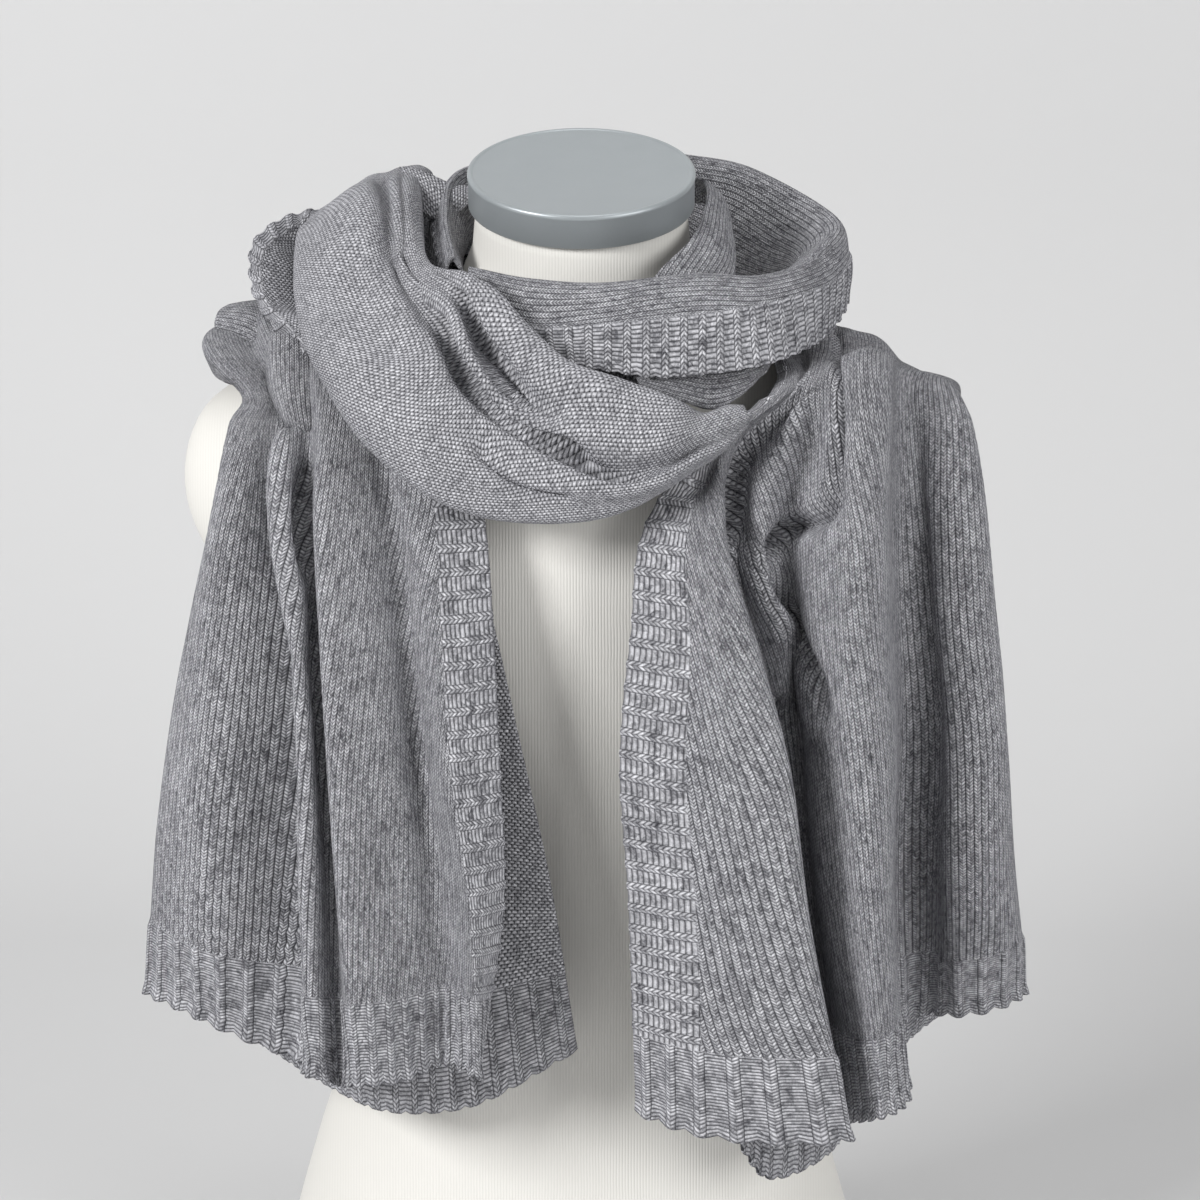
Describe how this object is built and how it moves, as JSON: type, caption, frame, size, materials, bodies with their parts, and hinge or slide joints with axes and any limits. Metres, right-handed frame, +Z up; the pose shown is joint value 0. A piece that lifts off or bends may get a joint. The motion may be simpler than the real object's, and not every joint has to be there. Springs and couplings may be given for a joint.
{
  "type": "stole on dress form",
  "caption": "Knitted stole with ribbed edges, wound once round the neck of a limbless dress form so that its ends hang down the front.",
  "frame": {"origin": "on the dress form's flat underside, below the middle of its neck", "axes": "+Z up, +Y to the form's back, +X to the right seen from the front"},
  "size_m": [0.4777, 0.3337, 0.7131],
  "materials": {
    "stole_knit": "soft melange knit, purl and knit sides",
    "form_jersey": "smooth fine jersey cover",
    "cap_metal": "brushed, with a brighter rounded rim"
  },
  "bodies": {
    "root": {"form_body": "form_jersey", "form_cap": "cap_metal", "left_hem": "stole_knit", "left_panel": "stole_knit", "left_inner_border": "stole_knit", "left_outer_border": "stole_knit", "left_wrap": "stole_knit", "right_hem": "stole_knit", "right_panel": "stole_knit", "right_inner_border": "stole_knit", "right_outer_border": "stole_knit", "right_wrap": "stole_knit", "neck_band": "stole_knit", "neck_band_border": "stole_knit", "neck_strip": "stole_knit", "left_shoulder_fold": "stole_knit", "cowl": "stole_knit"}
  },
  "joints": []
}
